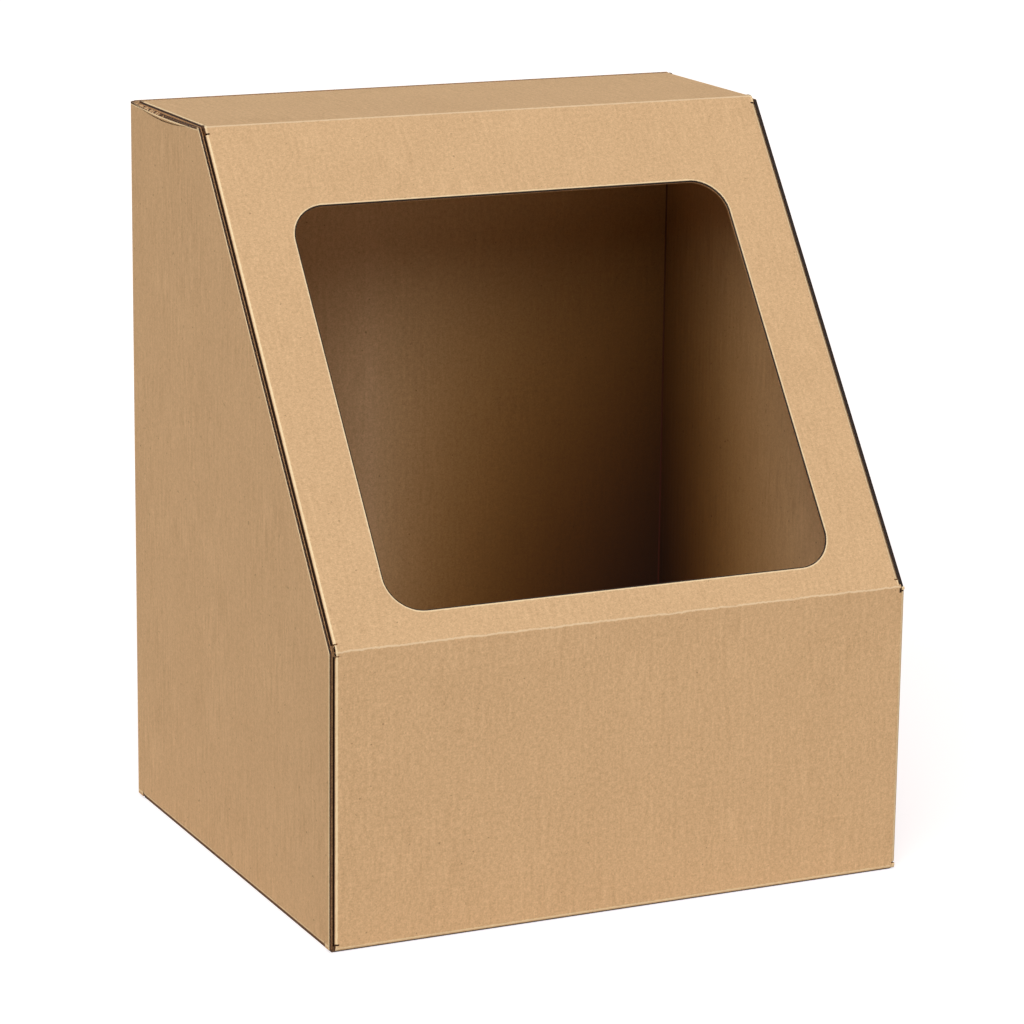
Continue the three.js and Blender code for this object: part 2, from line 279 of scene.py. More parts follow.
def new_group(name, inputs, outputs):
    tree = bpy.data.node_groups.new(name, "ShaderNodeTree")
    for socket, kind in inputs:
        tree.interface.new_socket(socket, in_out="INPUT", socket_type=kind)
    for socket, kind in outputs:
        tree.interface.new_socket(socket, in_out="OUTPUT", socket_type=kind)
    graph = Graph(tree)
    source = graph.node("NodeGroupInput").outputs
    sink = graph.node("NodeGroupOutput").inputs
    return graph, source, sink


VECTOR, FLOAT, COLOUR = "NodeSocketVector", "NodeSocketFloat", "NodeSocketColor"


def place_group():
    """Place on the board, in metres: across the flutes, along them, and depth.

    The flutes run up every wall and on over the slanted panel and the top, so across is X on the
    panels that face front, back, up or down, and Y on the two side walls.
    """
    graph, given, out = new_group("place_on_board", [("Position", VECTOR), ("Normal", VECTOR)],
                                  [("Place", VECTOR), ("Side wall", FLOAT)])
    x, y, z = graph.split(given["Position"])
    nx = graph.math("ABSOLUTE", graph.split(given["Normal"])[0])
    side = graph.math("GREATER_THAN", nx, 0.7)
    other = graph.off(1.0, side)
    across = graph.add(graph.times(side, y), graph.times(other, x))
    along = graph.add(z, graph.times(other, y))
    graph.feed(out["Place"], graph.join(across, along, graph.times(side, x)))
    graph.feed(out["Side wall"], side)
    return graph.tree


def liner_group():
    """Kraft liner: cloudy tone, fibres, the flutes' washboard streaks, grain and dark specks."""
    graph, given, out = new_group(
        "kraft_liner",
        [("Place", VECTOR), ("Paper", COLOUR), ("Streaks", FLOAT), ("Mottle", FLOAT)],
        [("Color", COLOUR), ("Roughness", FLOAT), ("Height", FLOAT)])
    place = given["Place"]
    across, along, depth = graph.split(place)
    cloud = graph.noise(place, 22.0, 3.0, 0.55)
    fibre = graph.noise(graph.join(across, graph.times(along, 0.7), depth), 620.0, 3.0, 0.6)
    grain = graph.noise(place, 1250.0, 2.0, 0.6)
    streak_place = graph.join(across, graph.times(along, 0.13), depth)
    streak = graph.noise(streak_place, 400.0, 2.5, 0.6)
    broad = graph.noise(streak_place, 95.0, 2.0, 0.5)
    patch = graph.ramp(graph.noise(place, 30.0, 2.0), 0.38, 0.66)
    wave = graph.math("SINE", graph.times(across, 2 * math.pi / FLUTE_PITCH))
    speck = graph.ramp(graph.noise(place, 560.0, 1.0, 0.3), 0.765, 0.80)
    sliver_place = graph.join(graph.times(across, 2.6), along, depth)
    sliver = graph.ramp(graph.noise(sliver_place, 520.0, 1.0, 0.4), 0.765, 0.80)

    def centred(value, gain):
        return graph.times(graph.off(value, 0.5), gain)

    def with_mottle(value):
        return graph.times(value, given["Mottle"])

    def with_streaks(value):
        return graph.times(value, given["Streaks"])

    patched = graph.times(centred(streak, 0.30), graph.ramp(patch, 0.0, 1.0, 0.25, 1.0))
    tone = centred(cloud, 0.10)
    for part in (with_mottle(centred(fibre, 0.46)), with_mottle(centred(grain, 0.55)),
                 with_streaks(patched), with_streaks(centred(broad, 0.04)),
                 with_streaks(graph.times(wave, 0.006))):
        tone = graph.add(tone, part)
    light = graph.add(1.0, tone)
    warm = graph.join(light, graph.math("POWER", light, 1.15), graph.math("POWER", light, 1.35))
    spots = graph.math("MAXIMUM", speck, graph.times(sliver, 0.6))
    lit = graph.scaled(given["Paper"], warm)
    graph.feed(out["Color"], graph.mix(graph.times(spots, 0.45), lit, linear(120, 82, 50)))
    graph.feed(out["Roughness"], graph.add(0.82, centred(fibre, 0.18)))
    height = graph.add(graph.times(fibre, 0.35), graph.times(grain, 0.2))
    height = graph.add(height, with_streaks(graph.times(streak, 0.5)))
    height = graph.add(height, with_streaks(graph.times(wave, 0.25)))
    graph.feed(out["Height"], height)
    return graph.tree


def highlight_and_wear_group():
    """A pale, slightly broken line: a painted highlight along the folds and cut edges, and the worn
    fibres of the creases.

    Ratio is the distance to the line divided by half the line's width.
    """
    graph, given, out = new_group("highlight_and_wear", [("Place", VECTOR), ("Ratio", FLOAT)],
                                  [("Mask", FLOAT)])
    ragged = graph.noise(given["Place"], 420.0, 3.0, 0.65)
    width = graph.ramp(ragged, 0.3, 0.7, 0.75, 1.25)
    line = graph.math("SUBTRACT", 1.0, graph.math("DIVIDE", given["Ratio"], width), clamp=True)
    firm = graph.math("MULTIPLY", line, 2.2, clamp=True)
    broken = graph.ramp(graph.noise(given["Place"], 90.0, 2.0), 0.2, 0.5, 0.65, 1.0)
    graph.feed(out["Mask"], graph.times(firm, broken))
    return graph.tree


def new_material(name):
    material = bpy.data.materials.new(name)
    material.use_nodes = True
    material.node_tree.nodes.clear()
    graph = Graph(material.node_tree)
    shader = graph.node("ShaderNodeBsdfPrincipled")
    output = graph.node("ShaderNodeOutputMaterial")
    graph.tree.links.new(shader.outputs[0], output.inputs[0])
    return material, graph, shader


KRAFT = linear(219, 182, 139)
# Colour of the painted highlight lines along folds, cut edges and the window's rim
KRAFT_HIGHLIGHT = linear(252, 228, 186)
CREASE_PALE = linear(243, 217, 180)
# Colours of painted shade: in the cracks, at the crease knots, on the contact line, in the flutes'
# hollows and along the inner corner
SHADE = linear(44, 25, 12)
HOLLOW = linear(22, 11, 5)
CORNER_SHADE = linear(64, 22, 8)
BEVEL_BROWN = linear(74, 44, 24)
place_on_board = place_group()
kraft_liner = liner_group()
highlight_and_wear = highlight_and_wear_group()


def board_material(name, strong, soft, shade, shade_factor=None):
    """Kraft board.

    strong, soft and shade are functions of (graph, x, y, z). The first two give the ratio for a
    painted highlight along a cut or fold and for a fainter worn crease line. shade gives a list of
    masks with the dark colours, mostly painted shade, that they lay over the liner. The last
    function, if given, gives the colour of painted shade that multiplies the paper.
    """
    material, graph, shader = new_material(name)
    source = graph.node("ShaderNodeTexCoord").outputs
    place = graph.split(source["Object"])
    where = graph.node("ShaderNodeGroup", node_tree=place_on_board)
    graph.feed(where.inputs["Position"], source["Object"])
    graph.feed(where.inputs["Normal"], source["Normal"])
    side = where.outputs["Side wall"]
    liner = graph.node("ShaderNodeGroup", node_tree=kraft_liner)
    graph.feed(liner.inputs["Place"], where.outputs["Place"])
    graph.feed(liner.inputs["Paper"], KRAFT)
    graph.feed(liner.inputs["Streaks"], graph.ramp(side, 0.0, 1.0, 1.0, 1.4))
    graph.feed(liner.inputs["Mottle"], graph.ramp(side, 0.0, 1.0, 1.0, 0.75))
    colour = liner.outputs["Color"]
    # Painted shade multiplied into the paper, as on the sleeve's inner faces
    if shade_factor:
        colour = graph.scaled(colour, shade_factor(graph, *place))
    # Pale lines: the worn creases, then the painted highlights along folds and cut edges
    for lines, depth, pale in ((soft, 0.75, CREASE_PALE), (strong, 0.9, KRAFT_HIGHLIGHT)):
        if lines:
            wear_and_highlight_line = graph.node("ShaderNodeGroup", node_tree=highlight_and_wear)
            graph.feed(wear_and_highlight_line.inputs["Place"], where.outputs["Place"])
            graph.feed(wear_and_highlight_line.inputs["Ratio"], lines(graph, *place))
            colour = graph.mix(graph.times(wear_and_highlight_line.outputs["Mask"], depth), colour, pale)
    for mask, dark in shade(graph, *place):
        colour = graph.mix(mask, colour, dark)
    graph.feed(shader.inputs["Base Color"], colour)
    graph.feed(shader.inputs["Roughness"], liner.outputs["Roughness"])
    graph.feed(shader.inputs["Specular IOR Level"], 0.25)
    relief = graph.node("ShaderNodeBump", {"Height": liner.outputs["Height"], "Strength": 0.25,
                                           "Distance": 0.15 * MM})
    graph.feed(shader.inputs["Normal"], relief.outputs[0])
    return material


def below_slant(graph, y, z):
    """Depth under the plane of the slanted panel."""
    return graph.off(graph.times(graph.off(y, FRONT), SIN_SLANT),
                     graph.times(graph.off(z, FRONT_HEIGHT), COS_SLANT))


def below_lid(graph, y, z):
    """Depth under the lid's outer face, on the slanted panel or the top."""
    return graph.math("MINIMUM", below_slant(graph, y, z), graph.off(HEIGHT, z))


def left_rim(graph, y):
    """Height of the outer liner's bevelled top edge on the left wall, at a depth y."""
    y_top, y_back = LEFT_TOP_SPAN
    k = graph.math("DIVIDE", graph.off(y, y_top), y_back - y_top)
    lens = graph.math("SINE", graph.times(k, math.pi))
    return graph.off(HEIGHT - LEFT_DROP, graph.add(RIM_DROP, graph.times(lens, RIM_LENS)))


def body_lines(graph, x, y, z):
    """Painted highlight lines of the sleeve: its upright and bottom folds and the left wall's cut
    edges.
    """
    ax = graph.math("ABSOLUTE", x)
    # Off the left wall's outer face the cut lines are put a metre away
    elsewhere = graph.math("GREATER_THAN", x, -HALF_WIDTH + OUTER_SKIN)
    slant = graph.away(below_slant(graph, y, z), LEFT_DROP)
    front = graph.away(y, FRONT + EDGE_SETBACK)
    rim = graph.away(z, left_rim(graph, y))
    cut = graph.add(graph.least([slant, front, rim]), elsewhere)
    return graph.nearest([
        (graph.from_line(ax, HALF_WIDTH - ARC_MIDDLE, y, BACK - ARC_MIDDLE), BACK_FOLD_HALF),
        (graph.from_line(x, RIGHT_LIT_ACROSS, y, FRONT + RIGHT_LIT_DEPTH), RIGHT_FOLD_HALF),
        (graph.from_line(x, -LIT_ACROSS, y, FRONT + LIT_DEPTH), LIT_FOLD_HALF),
        (graph.from_line(y, FRONT, z, BOTTOM_LINE), BOTTOM_FOLD_HALF),
        (graph.from_line(ax, HALF_WIDTH, z, BOARD + BOTTOM_LINE), BOTTOM_FOLD_HALF),
        (cut, CUT_HALF),
    ])


def wander(graph, x, reach):
    """Sideways drift of a crease line along x, from a slow wave and a quick one."""
    along = graph.join(x, 0.0, 0.0)
    slow = graph.off(graph.noise(along, 70.0, 1.0), 0.5)
    quick = graph.off(graph.noise(along, 420.0, 2.0), 0.5)
    return graph.times(graph.add(slow, graph.times(quick, 0.9)), reach)


def front_crease_line(graph, x, y, z):
    """Pale line of the front crease, which wanders a little up and down."""
    drift = graph.add(z, wander(graph, x, 1.6 * MM))
    line = graph.from_line(y, FRONT + CREASE_DEPTH, drift, FRONT_HEIGHT)
    return graph.nearest([(line, CREASE_HALF)])


def crease_knot(graph, x, y, z):
    """Painted shade: a dark knot at each end of the front crease, where the cut ends of the fold
    meet the crack.
    """
    round_it = graph.fall(graph.from_line(y, FRONT, z, FRONT_HEIGHT), *KNOT_FADE)
    span = graph.band(graph.math("ABSOLUTE", x), *KNOT_SPAN, 0.06 * MM)
    return graph.times(span, round_it)


def body_shade(graph, x, y, z):
    """Painted shade in the front crack, contact line, knots and inner corner, and the bevel's torn
    brown.
    """
    left = graph.times(x, -1.0)
    # Painted shade in the crack beside the front panel's left fold
    shallow = graph.fall(graph.off(y, FRONT), *CRACK_FADE)
    crack = graph.times(graph.band(left, CRACK, LID_HALF + 0.2 * MM, 0.1 * MM), shallow)
    # Painted shadow along the contact line above the floor
    contact = graph.fall(z, *CONTACT_FADE)
    outer = graph.math("GREATER_THAN", left, HALF_WIDTH - OUTER_SKIN)
    above = graph.ramp(graph.off(z, left_rim(graph, y)), 0.1 * MM, 0.3 * MM)
    after = graph.ramp(y, LEFT_TOP_SPAN[0] + 0.5 * MM, LEFT_TOP_SPAN[0] + 1.5 * MM)
    bevel = graph.times(graph.times(outer, above), after)
    # Painted shade along the inner right back corner
    corner = graph.fall(graph.from_line(x, HALF_WIDTH - BOARD, y, BACK - BOARD), *CORNER_FADE)
    return [(crack, SHADE), (contact, SHADE), (bevel, BEVEL_BROWN),
            (crease_knot(graph, x, y, z), SHADE), (graph.times(corner, 0.85), CORNER_SHADE)]


def inside_painted_shade(graph, x, y, z):
    """Painted shade on the inner faces, darker and redder towards the right back corner and the
    bottom.

    The paper's red, green and blue are multiplied by exp(-depth * t), where on the inner faces
    t = ((x + 20 mm) / 158 mm) * ((y + 119 mm) / 236 mm) ^ 3 * (1 + (155 mm - z) / 180 mm).
    """
    across = graph.math("DIVIDE", graph.off(x, INSIDE_SHADE_START), INSIDE_SHADE_WIDTH, clamp=True)
    back = graph.math("DIVIDE", graph.off(y, FRONT), INSIDE_SHADE_RUN, clamp=True)
    margin = graph.least([graph.off(HALF_WIDTH, graph.math("ABSOLUTE", x)),
                          graph.off(BACK, y), graph.off(y, FRONT)])
    inner = graph.ramp(margin, 1.2 * MM, 1.4 * MM)
    lower = graph.add(1.0, graph.math("DIVIDE", graph.off(INSIDE_SHADE_LEVEL, z), INSIDE_SHADE_FALL))
    t = graph.times(across, graph.math("POWER", back, 3.0))
    t = graph.times(graph.times(t, lower), inner)
    return graph.join(*(graph.math("EXPONENT", graph.times(t, -depth)) for depth in INSIDE_SHADE_DEPTH))


def window_distance(graph, x, y, z):
    """Distance from the window's rounded outline, in the plane of the slanted panel."""
    up = graph.add(graph.times(graph.off(y, FRONT), COS_SLANT),
                   graph.times(graph.off(z, FRONT_HEIGHT), SIN_SLANT))
    middle = (WINDOW_BOTTOM + SLANT_LENGTH - WINDOW_TOP) / 2
    half_up = (SLANT_LENGTH - WINDOW_TOP - WINDOW_BOTTOM) / 2
    half_across = HALF_WIDTH - WINDOW_SIDE
    dx = graph.off(graph.math("ABSOLUTE", x), half_across - WINDOW_CORNER)
    du = graph.off(graph.away(up, middle), half_up - WINDOW_CORNER)
    corner = graph.reach(graph.math("MAXIMUM", dx, 0.0), graph.math("MAXIMUM", du, 0.0))
    inner = graph.math("MINIMUM", graph.math("MAXIMUM", dx, du), 0.0)
    return graph.away(graph.add(corner, inner), WINDOW_CORNER)


def lid_lines(graph, x, y, z):
    """Painted highlight lines of the lid: the folds of its ears, its back fold and its window's
    rim.
    """
    ax = graph.math("ABSOLUTE", x)
    slant_ear = graph.from_line(ax, LIT_ACROSS, below_slant(graph, y, z), LIT_DEPTH)
    top_ear = graph.from_line(ax, TOP_LIT_ACROSS, z, HEIGHT)
    back = graph.from_line(y, LID_BACK - ARC_MIDDLE, z, HEIGHT - ARC_MIDDLE)
    # Under the outer face the window's rim is put a metre away
    under = graph.math("GREATER_THAN", below_lid(graph, y, z), 0.3 * MM)
    rim = graph.add(window_distance(graph, x, y, z), under)
    return graph.nearest([(slant_ear, LIT_FOLD_HALF), (top_ear, TOP_EAR_HALF),
                          (back, TUCK_FOLD_HALF), (rim, WINDOW_RIM_HALF)])


def lid_creases(graph, x, y, z):
    """Fainter lines: the fold between the slanted panel and the top, and the front crease."""
    top = graph.from_line(y, BACK - TOP_DEPTH + CREASE_DEPTH, z, HEIGHT - TOP_CREASE_DEPTH)
    return graph.math("MINIMUM", graph.nearest([(top, TOP_CREASE_HALF)]),
                      front_crease_line(graph, x, y, z))


def lid_shade(graph, x, y, z):
    """Painted shade in the crack between an ear's fold and the side wall, and at the crease knots.
    """
    shallow = graph.fall(below_lid(graph, y, z), *LID_CRACK_FADE)
    on_top = graph.times(graph.math("GREATER_THAN", z, HEIGHT - 1.2 * MM),
                         graph.math("GREATER_THAN", y, BACK - TOP_DEPTH + 0.5 * MM))
    start = graph.add(CRACK, graph.times(on_top, TOP_CRACK - CRACK))
    # Painted shade in the crack beside each ear's fold
    dark = graph.ramp(graph.off(graph.math("ABSOLUTE", x), start), -0.1 * MM, 0.1 * MM)
    return [(graph.times(dark, shallow), SHADE), (crease_knot(graph, x, y, z), SHADE)]


def closure_lines(graph, x, y, z):
    """Painted highlight lines along the closure's two folds, at its front and back edges."""
    back = float(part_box("bottom_closure")[1].y) - ARC_MIDDLE
    return graph.nearest([
        (graph.from_line(y, FRONT, z, BOTTOM_LINE), BOTTOM_FOLD_HALF),
        (graph.from_line(y, back, z, ARC_MIDDLE), TUCK_FOLD_HALF),
    ])


def contact_shade(graph, x, y, z):
    """Painted shadow along the contact line above the floor."""
    return [(graph.fall(z, *CONTACT_FADE), SHADE)]


def hollow_material():
    """The shaded space between the liners at a raw edge."""
    material, graph, shader = new_material("flute_hollow")
    position = graph.node("ShaderNodeTexCoord").outputs["Object"]
    shade = graph.ramp(graph.noise(position, 900.0, 3.0), 0.3, 0.7)
    graph.feed(shader.inputs["Base Color"], graph.mix(shade, HOLLOW, linear(46, 27, 14)))
    graph.feed(shader.inputs["Roughness"], graph.ramp(shade, 0.0, 1.0, 0.85, 0.95))
    return material


def cut_material(name, pale, dark):
    """Cut paper at a raw edge: short torn fibres between a pale and a darker tone."""
    material, graph, shader = new_material(name)
    position = graph.node("ShaderNodeTexCoord").outputs["Object"]
    torn = graph.ramp(graph.noise(position, 1300.0, 4.0, 0.7), 0.32, 0.68)
    graph.feed(shader.inputs["Base Color"], graph.mix(torn, dark, pale))
    graph.feed(shader.inputs["Roughness"], graph.ramp(torn, 0.0, 1.0, 0.8, 0.95))
    relief = graph.node("ShaderNodeBump", {"Height": torn, "Strength": 0.4, "Distance": 0.1 * MM})
    graph.feed(shader.inputs["Normal"], relief.outputs[0])
    return material


# Meshes from arrays
def grid_faces(rows, columns, start=0, wrap_rows=False, wrap_columns=False):
    """Quads of a rows by columns grid of vertices, joined round where it wraps."""
    r = np.arange(rows if wrap_rows else rows - 1)
    c = np.arange(columns if wrap_columns else columns - 1)
    r, c = (a.ravel() for a in np.meshgrid(r, c, indexing="ij"))
    r2, c2 = (r + 1) % rows, (c + 1) % columns
    corners = (r * columns + c, r * columns + c2, r2 * columns + c2, r2 * columns + c)
    return start + np.stack(corners, 1)


def mesh_piece(name, points, quads, materials, indices=None, smooth=False):
    mesh = bpy.data.meshes.new(name)
    mesh.vertices.add(len(points))
    mesh.vertices.foreach_set("co", np.asarray(points, np.float32).ravel())
    mesh.loops.add(4 * len(quads))
    mesh.loops.foreach_set("vertex_index", np.asarray(quads, np.int32).ravel())
    mesh.polygons.add(len(quads))
    mesh.polygons.foreach_set("loop_start", np.arange(0, 4 * len(quads), 4, dtype=np.int32))
    if smooth:
        mesh.polygons.foreach_set("use_smooth", np.ones(len(quads), bool))
    for material in materials:
        mesh.materials.append(material)
    if indices is not None:
        mesh.polygons.foreach_set("material_index", np.asarray(indices, np.int32))
    mesh.update(calc_edges=True)
    mesh.validate()
    piece = bpy.data.objects.new(name, mesh)
    bpy.context.scene.collection.objects.link(piece)
    return piece


def edge_ribs(n, wave, rise, open_cut, shaded):
    """Ribs of a raw edge: low share, high share, lift, and the material of each of four sides."""
    one = np.ones(n)
    # DARK ribs are painted shade: the floor in the flutes' hollows and, in an open cut, a rib that
    # stands out into the opening
    if open_cut:
        ribs = [(0.1 * one, 0.5 * one, LEDGE, (DARK,) * 4),
                (0 * one, LINER_SHARE * one, FLOOR_OF_EDGE, (OUTER,) * 4),
                (0.5 * one, one, LEDGE, (INNER,) * 4)]
    else:
        ribs = [(0.03 * one, 0.97 * one, FLOOR_OF_EDGE, (DARK,) * 4),
                (0 * one, LINER_SHARE * one, RIB + rise, (FACE, OUTER, DARK, DARK)),
                ((1 - LINER_SHARE) * one, one, RIB, (INNER,) * 4),
                (wave - FLUTE_SHARE / 2, wave + FLUTE_SHARE / 2,
                 RIB * 0.8 + rise * (1 - wave) * 0.45, (FLUTE,) * 4)]
    if shaded:
        ribs = [rib[:3] + (tuple(side if side == FACE else DARK for side in rib[3]),)
                for rib in ribs]
    return ribs


def raw_edge(name, body, outer, inner, outward, across, closed=False, rise=0.0, open_cut=False,
             shaded=False):
    """Raw edge of corrugated board between two lines of points.

    Point i of a rib lies a share of the way from outer[i] to inner[i], lifted along outward[i].
    The liners are ribs along both lines. Between them the flute is a rib whose share is
    0.5 + 0.33 sin(2 pi across / pitch), over a dark floor of painted shade. The rise is added to a
    lift at the outer line and fades to nothing at the inner one. An open cut shows the two liners
    alone, with a dark rib of painted shade between them that stands out into the opening, and a
    shaded edge is painted in shade colours except on its outer face.
    """
    n = len(outer)
    wave = 0.5 + (0.5 - LINER_SHARE) * np.sin(2 * np.pi * across / FLUTE_PITCH)
    rise = rise * np.ones(n)
    points, quads, indices = [], [], []
    climb = ((inner - outer) * outward).sum(1)
    foot = -FOOT - 0.2 * rise
    for low, high, lift, sides in edge_ribs(n, wave, rise, open_cut, shaded):
        lift = lift * np.ones(n)
        far = lift - climb * (high - low) if sides[0] == FACE else lift
        section = []
        corners = ((low, foot), (low, lift), (high, np.maximum(far, foot)), (high, foot))
        for share, height in corners:
            section.append(outer + (inner - outer) * share[:, None] + outward * height[:, None])
        start = len(points) * 4 * n
        faces = grid_faces(n, 4, start, wrap_rows=closed, wrap_columns=True)
        index = np.tile(sides, len(faces) // 4)
        if not closed:
            ends = np.array([[0, 3, 2, 1], [0, 1, 2, 3]]) + start
            ends[1] += 4 * (n - 1)
            faces = np.vstack([faces, ends])
            index = np.append(index, (sides[1], sides[1]))
        points.append(np.stack(section, 1).reshape(-1, 3))
        quads.append(faces)
        indices.append(index)
    quads = np.vstack(quads)
    points = np.vstack(points)
    # In the order of DARK, OUTER, INNER, FACE and FLUTE
    materials = [hollow, cut_outer, cut_inner, kraft_walls, cut_flute]
    piece = mesh_piece(name, points, face_outwards(points, quads, n), materials,
                       np.concatenate(indices))
    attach(piece, body)


def face_outwards(points, quads, n):
    """Turns every quad over if the first rib's volume comes out negative."""
    first = quads[quads.max(1) < 4 * n]
    a, b, c, d = (points[first[:, i]] for i in range(4))
    centre = points[:4 * n].mean(0)
    volume = np.einsum("ij,ij->i", np.cross(b - a, c - a), a - centre).sum()
    volume += np.einsum("ij,ij->i", np.cross(c - a, d - a), a - centre).sum()
    return quads if volume > 0 else quads[:, ::-1]


def along_line(a, b):
    """Points from a to b at the step of the raw edges."""
    a, b = np.asarray(a, float), np.asarray(b, float)
    n = max(2, int(np.linalg.norm(b - a) / STEP))
    t = np.linspace(0, 1, n)[:, None]
    return a + (b - a) * t


def wall_edge(name, side, start, end, outward, bevel=0.0, shaded=False):
    """A raw edge of a side wall, from start to end, both given as (y, z).

    A bevel lowers the outer line by bevel * sin(pi k), where k runs from 0 to 1 along it.
    """
    line = along_line((side * HALF_WIDTH, *start), (side * HALF_WIDTH, *end))
    inner = line.copy()
    inner[:, 0] = side * (HALF_WIDTH - BOARD)
    rise = 0.0
    if bevel:
        lens = np.sin(np.pi * (line[:, 1] - end[0]) / (start[0] - end[0]))
        line[:, 2] -= bevel * lens
        rise = np.clip((bevel - RIM_LENS) * lens - RIM_DROP, 0, None)
    raw_edge(name, "carton", line, inner, np.repeat(outward[None], len(line), 0), line[:, 1],
             rise=rise, shaded=shaded)


def side_wall_edges():
    """Raw edges of the two side walls: the top, the slant and, at the left, the upright front."""
    for side, drop, bevel, word in ((-1, LEFT_DROP, LEFT_BEVEL, "left"),
                                    (1, RIGHT_DROP, 0.0, "right")):
        top = HEIGHT - drop
        y_front = FRONT + (EDGE_SETBACK if side < 0 else FOLD_RADIUS)
        y_top = FRONT + (top + drop / COS_SLANT - FRONT_HEIGHT) * COS_SLANT / SIN_SLANT
        z_front = FRONT_HEIGHT + (y_front - FRONT) * SIN_SLANT / COS_SLANT - drop / COS_SLANT
        wall_edge(f"{word}_wall_top_edge", side, (BACK - FOLD_RADIUS, top), (y_top, top), UP,
                  bevel)
        # On the right wall the slant edge is shaded: all but its outer face take the colours of
        # painted shade
        wall_edge(f"{word}_wall_slant_edge", side, (y_top, top), (y_front, z_front), OFF_SLANT,
                  shaded=side > 0)
        if side < 0:
            low = float(body_low.z) + BOARD + HINGE_GAP
            wall_edge("left_wall_front_edge", side, (y_front, z_front), (y_front, low), AHEAD)


def back_wall_edge():
    """Raw top edge of the back wall."""
    half = HALF_WIDTH - FOLD_RADIUS
    line = along_line((-half, BACK, HEIGHT - LEFT_DROP), (half, BACK, HEIGHT - LEFT_DROP))
    raw_edge("back_wall_top_edge", "carton", line, line - [0, BOARD, 0],
             np.repeat(UP[None], len(line), 0), line[:, 0])


def window_edge():
    """Cut edge round the window: a rounded rectangle in the plane of the slanted panel."""
    half = HALF_WIDTH - WINDOW_SIDE
    low, high = WINDOW_BOTTOM, SLANT_LENGTH - WINDOW_TOP
    r = WINDOW_CORNER
    turns = int(r * math.pi / 2 / STEP)
    places, normals = [], []
    corners = ((half - r, high - r, 0), (-half + r, high - r, 90), (-half + r, low + r, 180),
               (half - r, low + r, 270))
    for i, (cx, cu, first) in enumerate(corners):
        angle = np.radians(np.linspace(first, first + 90, turns, endpoint=False))
        spoke = np.stack([np.cos(angle), np.sin(angle)], 1)
        places.append(np.array([cx, cu]) + r * spoke)
        normals.append(-spoke)
        after = corners[(i + 1) % 4]
        end = math.radians(first + 90)
        spoke = np.array([math.cos(end), math.sin(end)])
        straight = along_line((cx + r * spoke[0], cu + r * spoke[1], 0),
                              (after[0] + r * spoke[0], after[1] + r * spoke[1], 0))[:-1, :2]
        places.append(straight)
        normals.append(np.repeat(-spoke[None], len(straight), 0))
    flat, inward = np.vstack(places), np.vstack(normals)
    x_way = np.array([1.0, 0.0, 0.0])
    outer = CREASE + flat[:, :1] * x_way + flat[:, 1:] * UP_SLANT
    outward = inward[:, :1] * x_way + inward[:, 1:] * UP_SLANT
    raw_edge("window_cut_edge", "lid", outer, outer - BOARD * OFF_SLANT, outward, flat[:, 0],
             closed=True, open_cut=True)


def crease_outline(corner, heading_in, heading_out, s):
    """Points and outward directions at the distances s across a crease.

    The outline is straight, then an arc of the fold radius on each side of the hinge gap, then
    straight again.
    """
    turn = math.acos(float(np.clip(np.dot(heading_in, heading_out), -1, 1)))
    inward = heading_out - heading_in * math.cos(turn)
    inward /= np.linalg.norm(inward)
    middle = heading_in * math.cos(turn / 2) + inward * math.sin(turn / 2)
    arc = FOLD_RADIUS * turn / 2
    gap = HINGE_GAP / 2
    tangent = FOLD_RADIUS * math.tan(turn / 2) + gap / math.cos(turn / 2)
    way = turn / 2 + np.sign(s) * np.clip(np.abs(s) - gap, 0, arc) / FOLD_RADIUS
    centre = corner - tangent * heading_in + FOLD_RADIUS * inward
    centre = centre[None] + (gap * middle)[None] * (1 + np.sign(s))[:, None]
    out = np.sin(way)[:, None] * heading_in[None] - np.cos(way)[:, None] * inward[None]
    surface = centre + FOLD_RADIUS * out
    flat = np.sign(s) * np.clip(np.abs(s) - gap - arc, 0, None)
    surface += np.where(s < 0, 1, 0)[:, None] * flat[:, None] * heading_in
    surface += np.where(s > 0, 1, 0)[:, None] * flat[:, None] * heading_out
    in_gap = np.abs(s) < gap
    surface[in_gap] += ((s[in_gap] - np.sign(s[in_gap]) * gap)[:, None]) * middle
    return surface, out


